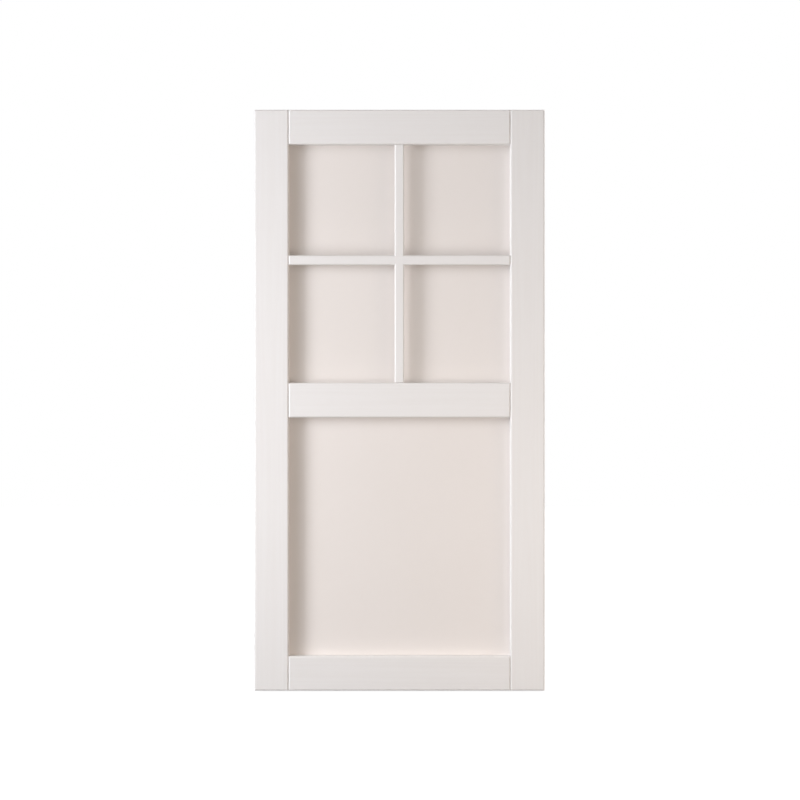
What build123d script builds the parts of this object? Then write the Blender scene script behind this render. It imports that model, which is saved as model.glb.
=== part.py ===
"""Sliding barn door: a frame of stiles and rails, two panels and a flush grid of bars over the upper panel.

The frame boards meet in V joints on the front, where their arrises are rounded. Their rebates take the panels
from the back, where mitred stops hold them. The bars stand clear of the upper panel, cross in a scribed lap
and have stub tenons.
The origin is on the top edge, at mid width and mid thickness. +X is to the right, +Y to the back, +Z up.
"""

import os

from build123d import *

# Driving dimensions, in millimetres
door_width = 1067.0  # 42 in
door_height = 2134.0  # 84 in
door_thickness = 57.0  # 2 1/4 in

stile_width = 126.0
top_rail_height = 127.0
middle_rail_height = 127.0
bottom_rail_height = 127.0
upper_opening_height = 876.5  # between the top and middle rails
upper_pane_height = 408.0  # between the top rail and the cross bar

bar_width = 35.0
bar_depth = 12.0  # front to back

panel_thickness = 6.5
stop_depth = 8.0  # the panel stops' front to back
rebate_width = 12.0  # how far the rebates go in behind the frame's inner edges
panel_clearance = 1.5  # room to swell, round each panel's edge

front_rounding = 5.5  # radius of the arrises on the front, which make the V joints
back_bevel = 1.0  # arrises on the back
stop_bevel = 3.0  # inner arris of each panel stop

tenon_length = 60.0
tenon_thickness = 16.0
tenon_shoulder = 20.0  # rail's edge to tenon's edge
bar_tenon_length = 10.0
bar_tenon_shoulder = 6.0  # bar's edge to tenon's edge
bar_tenon_cover = 1.0  # wood between the front rounding and a bar's tenon
mortise_clearance = 0.2  # on each side of a tenon
mortise_end_room = 2.0  # past the end of a tenon

guide_groove_width = 8.0  # for the fin of a floor guide
guide_groove_depth = 15.0

# Depths, from the front of the door to its back
front_y = -door_thickness / 2
back_y = door_thickness / 2
panel_back_y = back_y - stop_depth
panel_front_y = panel_back_y - panel_thickness
lip_middle_y = (front_y + panel_front_y) / 2  # middle of the wood in front of the rebates
bar_back_y = front_y + bar_depth
bar_tenon_y = front_y + front_rounding + bar_tenon_cover  # also where the crossing bars lap

# Half widths, from the middle of the door
door_edge_x = door_width / 2
stile_inner_x = door_edge_x - stile_width
rebate_x = stile_inner_x + rebate_width
half_bar = bar_width / 2

# Heights, down from the top edge
top_rail_z = -top_rail_height  # the rails' and bars' plain names are their lower edges
middle_rail_top_z = top_rail_z - upper_opening_height
middle_rail_z = middle_rail_top_z - middle_rail_height
bottom_rail_z = -door_height
bottom_rail_top_z = bottom_rail_z + bottom_rail_height
cross_bar_top_z = top_rail_z - upper_pane_height
cross_bar_z = cross_bar_top_z - bar_width


def block(x_ends, y_ends, z_ends, mode=Mode.ADD):
    """A rectangular block in the part being built, given by its two ends along each axis in either order."""
    lows, highs = zip(*(sorted(ends) for ends in (x_ends, y_ends, z_ends)))
    with Locations(tuple((low + high) / 2 for low, high in zip(lows, highs))):
        Box(*(high - low for low, high in zip(lows, highs)), mode=mode)


def rail_tenon(side, rail_low_z, rail_high_z, clearance=0.0, end_room=0.0, mode=Mode.ADD):
    """A rail's tenon on the left (side -1) or right (side 1), or with room round it, the mortise for it."""
    half_thickness = tenon_thickness / 2 + clearance
    block(
        (side * stile_inner_x, side * (stile_inner_x + tenon_length + end_room)),
        (lip_middle_y - half_thickness, lip_middle_y + half_thickness),
        (rail_low_z + tenon_shoulder - clearance, rail_high_z - tenon_shoulder + clearance),
        mode,
    )


def round_front(board):
    """Rounds the arrises round a board's front face."""
    fillet(board.faces().sort_by(Axis.Y)[0].edges(), front_rounding)


def bevel_back(board):
    """Bevels the arrises round a board's back face."""
    chamfer(board.faces().sort_by(Axis.Y)[-1].edges(), back_bevel)


def cut_guide_groove():
    """Cuts the floor guide's groove, which runs along the whole of the door's bottom edge."""
    half_groove = guide_groove_width / 2
    block(
        (-door_edge_x, door_edge_x),
        (-half_groove, half_groove),
        (bottom_rail_z, bottom_rail_z + guide_groove_depth),
        Mode.SUBTRACT,
    )


def finish(piece, name):
    """Labels a finished piece and writes it."""
    piece.part.label = name
    export_step(piece.part, f"parts/{name}.step")


def make_stile(name, side):
    """An upright of the frame: L-shaped in plan, with mortises for the rails and the cross bar."""
    rails = [(top_rail_z, 0), (middle_rail_z, middle_rail_top_z), (bottom_rail_z, bottom_rail_top_z)]
    with BuildPart() as stile:
        with BuildSketch(Plane.XY):
            with Locations((side * (stile_inner_x + stile_width / 2), 0)):
                Rectangle(stile_width, door_thickness)
            with Locations((side * (stile_inner_x + rebate_width / 2), (panel_front_y + back_y) / 2)):
                Rectangle(rebate_width, back_y - panel_front_y, mode=Mode.SUBTRACT)
        extrude(amount=-door_height)
        round_front(stile)
        bevel_back(stile)

        for low_z, high_z in rails:
            rail_tenon(side, low_z, high_z, mortise_clearance, mortise_end_room, Mode.SUBTRACT)
        block(
            (side * stile_inner_x, side * (stile_inner_x + bar_tenon_length + mortise_end_room)),
            (bar_tenon_y - mortise_clearance, bar_back_y + mortise_clearance),
            (cross_bar_z + bar_tenon_shoulder - mortise_clearance,
             cross_bar_top_z - bar_tenon_shoulder + mortise_clearance),
            Mode.SUBTRACT,
        )
        cut_guide_groove()
    finish(stile, name)


def make_rail(name, low_z, high_z, rebate_below=False, rebate_above=False, bar_mortise=None, grooved=False):
    """A level board of the frame. Its back runs out past the front shoulders, into the stiles' rebates.

    bar_mortise gives the height of the edge that the upright bar meets, and 1 or -1 for up or down from it.
    """
    back_low_z = low_z + (rebate_width if rebate_below else 0)
    back_high_z = high_z - (rebate_width if rebate_above else 0)
    with BuildPart() as rail:
        with BuildSketch(Plane.YZ):
            with Locations((lip_middle_y, (low_z + high_z) / 2)):
                Rectangle(panel_front_y - front_y, high_z - low_z)
        extrude(amount=stile_inner_x, both=True)
        round_front(rail)
        with BuildSketch(Plane.YZ):
            with Locations(((panel_front_y + back_y) / 2, (back_low_z + back_high_z) / 2)):
                Rectangle(back_y - panel_front_y, back_high_z - back_low_z)
        extrude(amount=rebate_x, both=True)
        bevel_back(rail)

        for side in (-1, 1):
            rail_tenon(side, low_z, high_z)
        if bar_mortise:
            edge_z, into = bar_mortise
            half_mortise = half_bar - bar_tenon_shoulder + mortise_clearance
            block(
                (-half_mortise, half_mortise),
                (bar_tenon_y - mortise_clearance, bar_back_y + mortise_clearance),
                (edge_z, edge_z + into * (bar_tenon_length + mortise_end_room)),
                Mode.SUBTRACT,
            )
        if grooved:
            cut_guide_groove()
    finish(rail, name)


def make_panel(name, low_z, high_z):
    """A flat board that lies in the rebates round an opening."""
    lap = rebate_width - panel_clearance
    with BuildPart() as panel:
        with BuildSketch(Plane.XZ.offset(-panel_back_y)):
            with Locations((0, (low_z + high_z) / 2)):
                Rectangle(2 * (stile_inner_x + lap), high_z - low_z + 2 * lap)
        extrude(amount=panel_thickness)
    finish(panel, name)


def make_stop(name, place, length):
    """A mitred strip that holds a panel in its rebate. Its plane's X runs along it and Y points inwards."""
    with BuildPart() as stop:
        with BuildSketch(place):
            with Locations((0, rebate_width / 2)):
                Trapezoid(length, rebate_width, 45)
        extrude(amount=stop_depth)
        long_edges = stop.faces().sort_by(Axis.Y)[-1].edges().filter_by(Axis(place.origin, place.x_dir))
        chamfer(long_edges.sort_by(SortBy.LENGTH)[0], stop_bevel)
    finish(stop, name)


def make_stops(opening, low_z, high_z):
    """The stops round the back of one opening, which meet in mitres."""
    middle_z = (low_z + high_z) / 2
    across = 2 * rebate_x
    upright = high_z - low_z + 2 * rebate_width
    sides = [
        ("top", (0, panel_back_y, high_z + rebate_width), (1, 0, 0), across),
        ("bottom", (0, panel_back_y, low_z - rebate_width), (-1, 0, 0), across),
        ("left", (-rebate_x, panel_back_y, middle_z), (0, 0, 1), upright),
        ("right", (rebate_x, panel_back_y, middle_z), (0, 0, -1), upright),
    ]
    for side, origin, along, length in sides:
        make_stop(f"{opening}_{side}_stop", Plane(origin=origin, x_dir=along, z_dir=(0, 1, 0)), length)


os.makedirs("parts", exist_ok=True)

# Frame
make_stile("left_stile", -1)
make_stile("right_stile", 1)
make_rail("top_rail", top_rail_z, 0, rebate_below=True, bar_mortise=(top_rail_z, 1))
make_rail("middle_rail", middle_rail_z, middle_rail_top_z, rebate_below=True, rebate_above=True,
          bar_mortise=(middle_rail_top_z, -1))
make_rail("bottom_rail", bottom_rail_z, bottom_rail_top_z, rebate_above=True, grooved=True)

# Panels and their stops
make_panel("upper_panel", middle_rail_top_z, top_rail_z)
make_panel("lower_panel", bottom_rail_top_z, middle_rail_z)
make_stops("upper", middle_rail_top_z, top_rail_z)
make_stops("lower", bottom_rail_top_z, middle_rail_z)

# Cross bar, cut away at the back where the upright bar passes behind it
with BuildPart() as cross_bar:
    block((-stile_inner_x, stile_inner_x), (front_y, bar_back_y), (cross_bar_z, cross_bar_top_z))
    round_front(cross_bar)
    tenon_end_x = stile_inner_x + bar_tenon_length
    block(
        (-tenon_end_x, tenon_end_x),
        (bar_tenon_y, bar_back_y),
        (cross_bar_z + bar_tenon_shoulder, cross_bar_top_z - bar_tenon_shoulder),
    )
    block((-half_bar, half_bar), (bar_tenon_y, bar_back_y), (cross_bar_z, cross_bar_top_z), Mode.SUBTRACT)
finish(cross_bar, "cross_bar")

# Upright bar, scribed over the rounded arrises of the cross bar
with BuildPart() as upright_bar:
    block((-half_bar, half_bar), (front_y, bar_back_y), (middle_rail_top_z, top_rail_z))
    round_front(upright_bar)
    block(
        (-half_bar + bar_tenon_shoulder, half_bar - bar_tenon_shoulder),
        (bar_tenon_y, bar_back_y),
        (middle_rail_top_z - bar_tenon_length, top_rail_z + bar_tenon_length),
    )
    add(cross_bar.part, mode=Mode.SUBTRACT)
finish(upright_bar, "upright_bar")
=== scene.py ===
import math

import bpy
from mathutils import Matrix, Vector


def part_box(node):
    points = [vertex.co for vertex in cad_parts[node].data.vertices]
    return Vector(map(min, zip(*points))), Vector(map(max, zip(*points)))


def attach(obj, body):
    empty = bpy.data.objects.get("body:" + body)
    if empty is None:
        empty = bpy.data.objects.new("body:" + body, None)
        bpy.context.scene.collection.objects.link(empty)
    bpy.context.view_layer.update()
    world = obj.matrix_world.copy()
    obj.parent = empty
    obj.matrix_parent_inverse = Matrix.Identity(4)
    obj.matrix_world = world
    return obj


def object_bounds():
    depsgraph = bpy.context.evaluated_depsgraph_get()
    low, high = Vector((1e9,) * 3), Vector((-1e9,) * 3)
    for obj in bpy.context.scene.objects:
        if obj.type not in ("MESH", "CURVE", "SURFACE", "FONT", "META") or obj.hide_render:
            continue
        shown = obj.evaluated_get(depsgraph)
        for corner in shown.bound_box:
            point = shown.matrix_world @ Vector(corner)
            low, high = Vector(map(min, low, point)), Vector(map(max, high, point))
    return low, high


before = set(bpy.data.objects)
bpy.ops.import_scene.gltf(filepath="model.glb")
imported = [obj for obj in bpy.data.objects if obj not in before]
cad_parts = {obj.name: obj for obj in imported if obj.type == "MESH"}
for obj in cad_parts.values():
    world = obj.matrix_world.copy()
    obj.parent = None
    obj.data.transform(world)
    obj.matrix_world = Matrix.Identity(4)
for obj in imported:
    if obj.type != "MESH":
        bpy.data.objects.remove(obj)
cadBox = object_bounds()
doorLow, doorHigh = cadBox
doorMiddle = (doorLow + doorHigh) / 2
scene = bpy.context.scene
scene.view_settings.view_transform = "Standard"
print("frame loaded:", len(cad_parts), "nodes")


class Wire:  # a socket whose sums and products add Math nodes
    def __init__(self, tree, socket):
        self.tree = tree
        self.socket = socket

    def math(self, operation, first, second=0.0):
        return self.tree.node("ShaderNodeMath", {"operation": operation}, {0: first, 1: second})

    def __add__(self, other):
        return self.math("ADD", self, other)

    def __radd__(self, other):
        return self.math("ADD", other, self)

    def __sub__(self, other):
        return self.math("SUBTRACT", self, other)

    def __rsub__(self, other):
        return self.math("SUBTRACT", other, self)

    def __mul__(self, other):
        return self.math("MULTIPLY", self, other)

    def __rmul__(self, other):
        return self.math("MULTIPLY", other, self)

    def __truediv__(self, other):
        return self.math("DIVIDE", self, other)

    def __rtruediv__(self, other):
        return self.math("DIVIDE", other, self)

    def __pow__(self, other):
        return self.math("POWER", self, other)

    def __rpow__(self, other):
        return self.math("POWER", other, self)

    def sine(self):
        return self.math("SINE", self)

    def positive(self):
        return self.math("MAXIMUM", self, 0.0)


class Tree:  # the nodes of a material, of the world, or of a modifier
    def __init__(self, nodeTree):
        self.nodes = nodeTree.nodes
        self.links = nodeTree.links
        self.nodes.clear()

    def node(self, kind, settings, sockets, output=0):
        made = self.nodes.new(kind)
        for name, value in settings.items():
            setattr(made, name, value)
        for name, value in sockets.items():
            if isinstance(value, Wire):
                self.links.new(value.socket, made.inputs[name])
            else:
                made.inputs[name].default_value = value
        return Wire(self, made.outputs[output]) if made.outputs else None

    def place(self):  # where a point is on the door, in metres
        return self.node("ShaderNodeTexCoord", {}, {}, "Object")

    def split(self, vector):
        return [self.node("ShaderNodeSeparateXYZ", {}, {0: vector}, axis) for axis in "XYZ"]

    def stretch(self, vector, scale):
        return self.node("ShaderNodeMapping", {}, {"Vector": vector, "Scale": scale})

    def noise(self, vector, scale, detail, roughness=0.5):  # from -1 to 1, about
        settings = {"noise_dimensions": "3D", "normalize": True}
        sockets = {"Vector": vector, "Scale": scale, "Detail": detail, "Roughness": roughness}
        return self.node("ShaderNodeTexNoise", settings, sockets) * 2.0 - 1.0

    def blend(self, amount, first, second):  # between two colours, at the node's colour sockets
        return self.node("ShaderNodeMix", {"data_type": "RGBA"}, {0: amount, 6: first, 7: second}, 2)

    def bump(self, height, depth):
        return self.node("ShaderNodeBump", {}, {"Height": height, "Distance": depth, "Strength": 1.0})

    def surface(self, sockets):
        shader = self.node("ShaderNodeBsdfPrincipled", {}, sockets)
        self.node("ShaderNodeOutputMaterial", {}, {"Surface": shader})


def newPaint(name):
    paint = bpy.data.materials.new(name)
    paint.use_nodes = True
    return paint, Tree(paint.node_tree)


# Satin white over wood whose grain still shows faintly
boardLook = {
    "paint": (0.807, 0.786, 0.774, 1.0),
    "grainPaint": (0.782, 0.756, 0.739, 1.0),  # where the grain shows most
    "ringPitch": 0.0065,
    "pithDepth": 0.055,  # middle of the tree, behind the board's face
    "ringWander": 0.016,
    "knotPush": 0.013,
    "wander": {"scale": 11.0, "detail": 2.0},
    "streaks": {"scale": 60.0, "detail": 3.0, "roughness": 0.6},
    "fibres": {"scale": 420.0, "detail": 2.0, "roughness": 0.6},
    "cloud": {"scale": 3.2, "detail": 2.0},
    "shadeShares": {"rings": 0.30, "streaks": 0.55, "fibres": 0.35, "cloud": 0.25},
    "baseShade": 0.15,
    "reliefShares": {"rings": 0.4, "fibres": 0.6, "streaks": 0.4},
    "roughness": 0.46,
    "roughnessSpread": 0.05,
    "gloss": 0.3,
    "grainRelief": 0.00006,
}
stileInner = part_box("left_stile")[1].x
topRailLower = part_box("top_rail")[0].z
uprightGrain = {
    "along": "Z",
    "stretch": (1.0, 1.0, 0.045),  # noise is drawn out along the board
    "pithSpacing": (doorHigh.x - stileInner) / 2,  # a tree's middle in each upright
    "knot": {"x": 0.487, "z": -1.224, "halfWidth": 0.0085, "halfLength": 0.016},
}
levelGrain = {
    "along": "X",
    "stretch": (0.045, 1.0, 1.0),
    "pithSpacing": (topRailLower - doorLow.z) / 2,
    "knot": None,
}


def boardPaint(name, grain):
    look = boardLook
    paint, tree = newPaint(name)
    place = tree.place()
    x, y, z = tree.split(place)
    drawnOut = tree.stretch(place, grain["stretch"])

    # growth rings about a middle behind each board
    across, middle = (x, doorMiddle.x) if grain["along"] == "Z" else (z, doorMiddle.z)
    half = grain["pithSpacing"] / 2
    fromPith = tree.node("ShaderNodeMath", {"operation": "WRAP"}, {0: across - middle, 1: half, 2: -half})
    depth = y - look["pithDepth"]
    wander = tree.noise(drawnOut, **look["wander"]) * look["ringWander"]
    radius = (fromPith * fromPith + depth * depth) ** 0.5 + wander
    if grain["knot"]:
        knot = grain["knot"]
        sideways = (x - knot["x"]) / knot["halfWidth"]
        endways = (z - knot["z"]) / knot["halfLength"]
        swell = math.e ** (sideways * sideways + endways * endways)
        radius = radius + look["knotPush"] / swell
    rings = (radius * (2 * math.pi / look["ringPitch"])).sine() * 0.5 + 0.5

    streaks = tree.noise(drawnOut, **look["streaks"])
    fibres = tree.noise(drawnOut, **look["fibres"])
    cloud = tree.noise(place, **look["cloud"])
    shade, lift = look["shadeShares"], look["reliefShares"]
    grainShade = rings * shade["rings"] + streaks * shade["streaks"] + fibres * shade["fibres"]
    grainShade = grainShade + cloud * shade["cloud"] + look["baseShade"]
    colour = tree.blend(grainShade, look["paint"], look["grainPaint"])

    relief = rings * lift["rings"] + fibres * lift["fibres"] + streaks * lift["streaks"]
    tree.surface({
        "Base Color": colour,
        "Roughness": look["roughness"] + fibres * look["roughnessSpread"],
        "Specular IOR Level": look["gloss"],
        "Normal": tree.bump(relief, look["grainRelief"]),
    })
    return paint


# Smooth panel board, a little warmer than the frame
panelLook = {
    "paint": (0.787, 0.738, 0.707, 1.0),
    "shadePaint": (0.771, 0.722, 0.688, 1.0),
    "cloud": {"scale": 4.0, "detail": 3.0},
    "mottle": {"scale": 45.0, "detail": 2.0},
    "peel": {"scale": 520.0, "detail": 1.0},
    "shadeShares": {"cloud": 0.5, "mottle": 0.25},
    "baseShade": 0.5,
    "roughness": 0.5,
    "roughnessSpread": 0.03,
    "gloss": 0.3,
    "peelRelief": 0.00003,
}


def panelPaint(name):
    look = panelLook
    paint, tree = newPaint(name)
    place = tree.place()
    cloud = tree.noise(place, **look["cloud"])
    mottle = tree.noise(place, **look["mottle"])
    peel = tree.noise(place, **look["peel"])
    shares = look["shadeShares"]
    shade = cloud * shares["cloud"] + mottle * shares["mottle"] + look["baseShade"]
    tree.surface({
        "Base Color": tree.blend(shade, look["paint"], look["shadePaint"]),
        "Roughness": look["roughness"] + mottle * look["roughnessSpread"],
        "Specular IOR Level": look["gloss"],
        "Normal": tree.bump(peel, look["peelRelief"]),
    })
    return paint


uprightPaint = boardPaint("uprightPaint", uprightGrain)
levelPaint = boardPaint("levelPaint", levelGrain)
smoothPaint = panelPaint("panelPaint")
paintOf = {
    "stile": uprightPaint,
    "upright_bar": uprightPaint,
    "left_stop": uprightPaint,
    "right_stop": uprightPaint,
    "rail": levelPaint,
    "cross_bar": levelPaint,
    "top_stop": levelPaint,
    "bottom_stop": levelPaint,
    "panel": smoothPaint,
}
for nodeName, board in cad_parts.items():
    paint = next(paint for ending, paint in paintOf.items() if nodeName.endswith(ending))
    board.data.materials.clear()
    board.data.materials.append(paint)
print("boards painted")


# Brads that pin the panel stops, painted over with the boards
bradLook = {
    "Spacing": 0.15,
    "Foot Width": 0.0024,
    "Top Width": 0.0016,
    "Height": 0.0003,
    "Sides": 12,
}
bradLines = {
    "endMargin": 0.045,
    "fromEdge": 0.0045,  # middle of a stop's flat back
}


def bradLine(stopName):  # along one stop, on its back face
    low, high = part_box(stopName)
    inset, margin = bradLines["fromEdge"], bradLines["endMargin"]
    side = stopName.split("_")[1]
    heights = {"top": high.z - inset, "bottom": low.z + inset}
    if side in heights:
        return [(x, high.y, heights[side]) for x in (low.x + margin, high.x - margin)]
    across = {"left": low.x + inset, "right": high.x - inset}
    return [(across[side], high.y, z) for z in (low.z + margin, high.z - margin)]


def bradGroup():
    group = bpy.data.node_groups.new("brads", "GeometryNodeTree")
    group.interface.new_socket("Lines", in_out="INPUT", socket_type="NodeSocketGeometry")
    for name, value in bradLook.items():
        kind = "NodeSocketInt" if isinstance(value, int) else "NodeSocketFloat"
        group.interface.new_socket(name, in_out="INPUT", socket_type=kind)
    group.interface.new_socket("Paint", in_out="INPUT", socket_type="NodeSocketMaterial")
    group.interface.new_socket("Brads", in_out="OUTPUT", socket_type="NodeSocketGeometry")
    tree = Tree(group)

    def given(name):
        return tree.node("NodeGroupInput", {}, {}, name)

    path = tree.node("GeometryNodeMeshToCurve", {}, {"Mesh": given("Lines")})
    spaced = {"Curve": path, "Length": given("Spacing")}
    points = tree.node("GeometryNodeResampleCurve", {"mode": "LENGTH"}, spaced)
    head = tree.node("GeometryNodeMeshCone", {}, {
        "Vertices": given("Sides"),
        "Radius Bottom": given("Foot Width") * 0.5,
        "Radius Top": given("Top Width") * 0.5,
        "Depth": given("Height"),
    })
    outwards = (-math.pi / 2, 0.0, 0.0)
    pinned = tree.node("GeometryNodeInstanceOnPoints", {}, {
        "Points": points,
        "Instance": head,
        "Rotation": outwards,
    })
    solid = tree.node("GeometryNodeRealizeInstances", {}, {"Geometry": pinned})
    painted = tree.node("GeometryNodeSetMaterial", {}, {"Geometry": solid, "Material": given("Paint")})
    tree.node("NodeGroupOutput", {}, {"Brads": painted})
    return group


def makeBrads():
    lines = [bradLine(name) for name in sorted(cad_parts) if name.endswith("stop")]
    mesh = bpy.data.meshes.new("bradLines")
    ends = [end for line in lines for end in line]
    mesh.from_pydata(ends, [(k, k + 1) for k in range(0, len(ends), 2)], [])
    carrier = bpy.data.objects.new("bradLines", mesh)
    scene.collection.objects.link(carrier)
    modifier = carrier.modifiers.new("brads", "NODES")
    modifier.node_group = bradGroup()
    values = {**bradLook, "Paint": uprightPaint}
    for socket in modifier.node_group.interface.items_tree:
        if socket.name in values:
            modifier[socket.identifier] = values[socket.name]
    made = carrier.evaluated_get(bpy.context.evaluated_depsgraph_get())
    brads = bpy.data.objects.new("stop_brads", bpy.data.meshes.new_from_object(made))
    bpy.data.objects.remove(carrier)
    scene.collection.objects.link(brads)
    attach(brads, "root")
    print("brads pinned:", len(brads.data.polygons), "faces")


makeBrads()


# Plain floor, dim in what it bounces and white where it is seen, with a faint shadow
stageLook = {
    "white": (1.0, 1.0, 1.0, 1.0),
    "floorColour": (0.15, 0.145, 0.14, 1.0),  # what it bounces
    "floorHalfSize": 14.0,
    "floorGap": 0.008,  # a hung door clears the floor
    "shadowShare": 0.25,  # how much of the floor's light and shade is seen
    "floorGlow": 0.9,  # what takes the open floor up to white
}
worldLook = {  # soft light from the left, the right and above, and from the right at the back
    "cool": (0.916, 0.947, 1.0, 1.0),
    "warm": (1.0, 0.904, 0.815, 1.0),
    "leftGlow": 204.0,
    "rightGlow": 95.0,
    "upGlow": 0.98,
    "backGlow": 300.0,
    "backFill": 1.3,
    "slantPowers": {"ahead": 4.0, "side": 3.0, "level": 2.0},  # a higher power narrows the light
    "grazePowers": {"ahead": 2.0, "side": 5.0, "level": 30.0},
}
netLook = {  # a see-through grey card beside the door, which keeps its left edge from burning out
    "dimming": (0.82, 0.82, 0.82, 1.0),
    "gap": 0.002,  # from the door's edge
    "width": 0.2,
}
lamps = {
    "keyLamp": {
        "place": (-2.6, -1.2, -1.0),
        "aim": (0.0, doorLow.y, -1.0),
        "size": (0.72, 2.2),
        "power": 60.6,
        "colour": worldLook["cool"][:3],
    },
    "rightLamp": {
        "place": (1.9, -1.3, -1.8),
        "aim": (0.3, doorLow.y, -1.5),
        "size": (0.8, 0.8),
        "power": 7.45,
        "colour": worldLook["warm"][:3],
    },
    "lowLamp": {
        "place": (0.9, -2.2, -1.7),
        "aim": (0.2, doorLow.y, -1.4),
        "size": (1.0, 1.0),
        "power": 9.29,
        "colour": worldLook["warm"][:3],
    },
}


def seenDirectly(tree):  # camera rays, and rays that a gloss or glass sends on
    kinds = ("Camera", "Glossy", "Transmission")
    camera, glossy, through = [tree.node("ShaderNodeLightPath", {}, {}, f"Is {kind} Ray") for kind in kinds]
    return camera + glossy + through


def floorPaint():
    paint, tree = newPaint("floorPaint")
    bounce = tree.node("ShaderNodeBsdfDiffuse", {}, {"Color": stageLook["floorColour"]})
    share = stageLook["shadowShare"]
    shade = tree.node("ShaderNodeBsdfDiffuse", {}, {"Color": (share, share, share, 1.0)})
    white, strength = stageLook["white"], stageLook["floorGlow"]
    glow = tree.node("ShaderNodeEmission", {}, {"Color": white, "Strength": strength})
    seen = tree.node("ShaderNodeAddShader", {}, {0: shade, 1: glow})
    shader = tree.node("ShaderNodeMixShader", {}, {0: seenDirectly(tree), 1: bounce, 2: seen})
    tree.node("ShaderNodeOutputMaterial", {}, {"Surface": shader})
    return paint


def makeFloor():
    half = stageLook["floorHalfSize"]
    level = doorLow.z - stageLook["floorGap"]
    corners = [(-half, -half, level), (half, -half, level), (half, half, level), (-half, half, level)]
    mesh = bpy.data.meshes.new("floor")
    mesh.from_pydata(corners, [], [(0, 1, 2, 3)])
    mesh.materials.append(floorPaint())
    floor = bpy.data.objects.new("floor", mesh)
    scene.collection.objects.link(floor)


def makeEdgeNet():  # in the plane of the door's front, so it shades nothing there
    paint, tree = newPaint("edgeNet")
    veil = tree.node("ShaderNodeBsdfTransparent", {}, {"Color": netLook["dimming"]})
    tree.node("ShaderNodeOutputMaterial", {}, {"Surface": veil})
    right = doorLow.x - netLook["gap"]
    left = right - netLook["width"]
    outline = [(left, doorLow.z), (right, doorLow.z), (right, doorHigh.z), (left, doorHigh.z)]
    mesh = bpy.data.meshes.new("edgeNet")
    mesh.from_pydata([(x, doorLow.y, z) for x, z in outline], [], [(0, 1, 2, 3)])
    mesh.materials.append(paint)
    net = bpy.data.objects.new("edgeNet", mesh)
    net.visible_camera = False
    scene.collection.objects.link(net)


def makeWorld():
    look = worldLook
    world = bpy.data.worlds.new("studio")
    world.use_nodes = True
    scene.world = world
    tree = Tree(world.node_tree)
    x, y, z = tree.split(tree.node("ShaderNodeTexCoord", {}, {}, "Generated"))
    front, back = (0.0 - y).positive(), y.positive()
    left, right = (0.0 - x).positive(), x.positive()
    side, level = 1.0 - y * y, 1.0 - z * z
    slant, graze = look["slantPowers"], look["grazePowers"]
    slantFront = left * front ** slant["ahead"] * look["leftGlow"]
    slantBack = right * back ** slant["ahead"] * look["backGlow"]
    coolStrength = (slantFront + slantBack) * side ** slant["side"] * level ** slant["level"]
    grazing = right * front ** graze["ahead"] * side ** graze["side"]
    grazing = grazing * level ** graze["level"] * look["rightGlow"]
    warmStrength = grazing + z.positive() * front * look["upGlow"] + back * look["backFill"]
    cool = tree.node("ShaderNodeBackground", {}, {"Color": look["cool"], "Strength": coolStrength})
    warm = tree.node("ShaderNodeBackground", {}, {"Color": look["warm"], "Strength": warmStrength})
    light = tree.node("ShaderNodeAddShader", {}, {0: cool, 1: warm})
    white = tree.node("ShaderNodeBackground", {}, {"Color": stageLook["white"], "Strength": 1.0})
    shader = tree.node("ShaderNodeMixShader", {}, {0: seenDirectly(tree), 1: light, 2: white})
    tree.node("ShaderNodeOutputWorld", {}, {"Surface": shader})


def makeLamp(name, lamp):
    light = bpy.data.lights.new(name, "AREA")
    light.shape = "RECTANGLE"
    light.size, light.size_y = lamp["size"]
    light.energy = lamp["power"]
    light.color = lamp["colour"]
    holder = bpy.data.objects.new(name, light)
    holder.location = lamp["place"]
    holder.rotation_euler = (Vector(lamp["aim"]) - holder.location).to_track_quat("-Z", "Y").to_euler()
    holder.visible_camera = False
    scene.collection.objects.link(holder)


makeFloor()
makeEdgeNet()
makeWorld()
for lampName, lamp in lamps.items():
    makeLamp(lampName, lamp)
print("floor, world and lamps made")

cameraLook = {
    "distance": 8.16,  # from the door's front
    "lens": 100.0,
    "sensor": 36.0,
    "right": 0.002,  # a hair off the door's middle
    "up": 0.0007,
}


def makeCamera():
    camera = bpy.data.cameras.new("camera")
    camera.lens = cameraLook["lens"]
    camera.sensor_width = cameraLook["sensor"]
    holder = bpy.data.objects.new("camera", camera)
    front = doorLow.y - cameraLook["distance"]
    holder.location = (doorMiddle.x + cameraLook["right"], front, doorMiddle.z + cameraLook["up"])
    holder.rotation_euler = (math.pi / 2, 0.0, 0.0)
    scene.collection.objects.link(holder)
    scene.camera = holder


makeCamera()
print("camera placed")
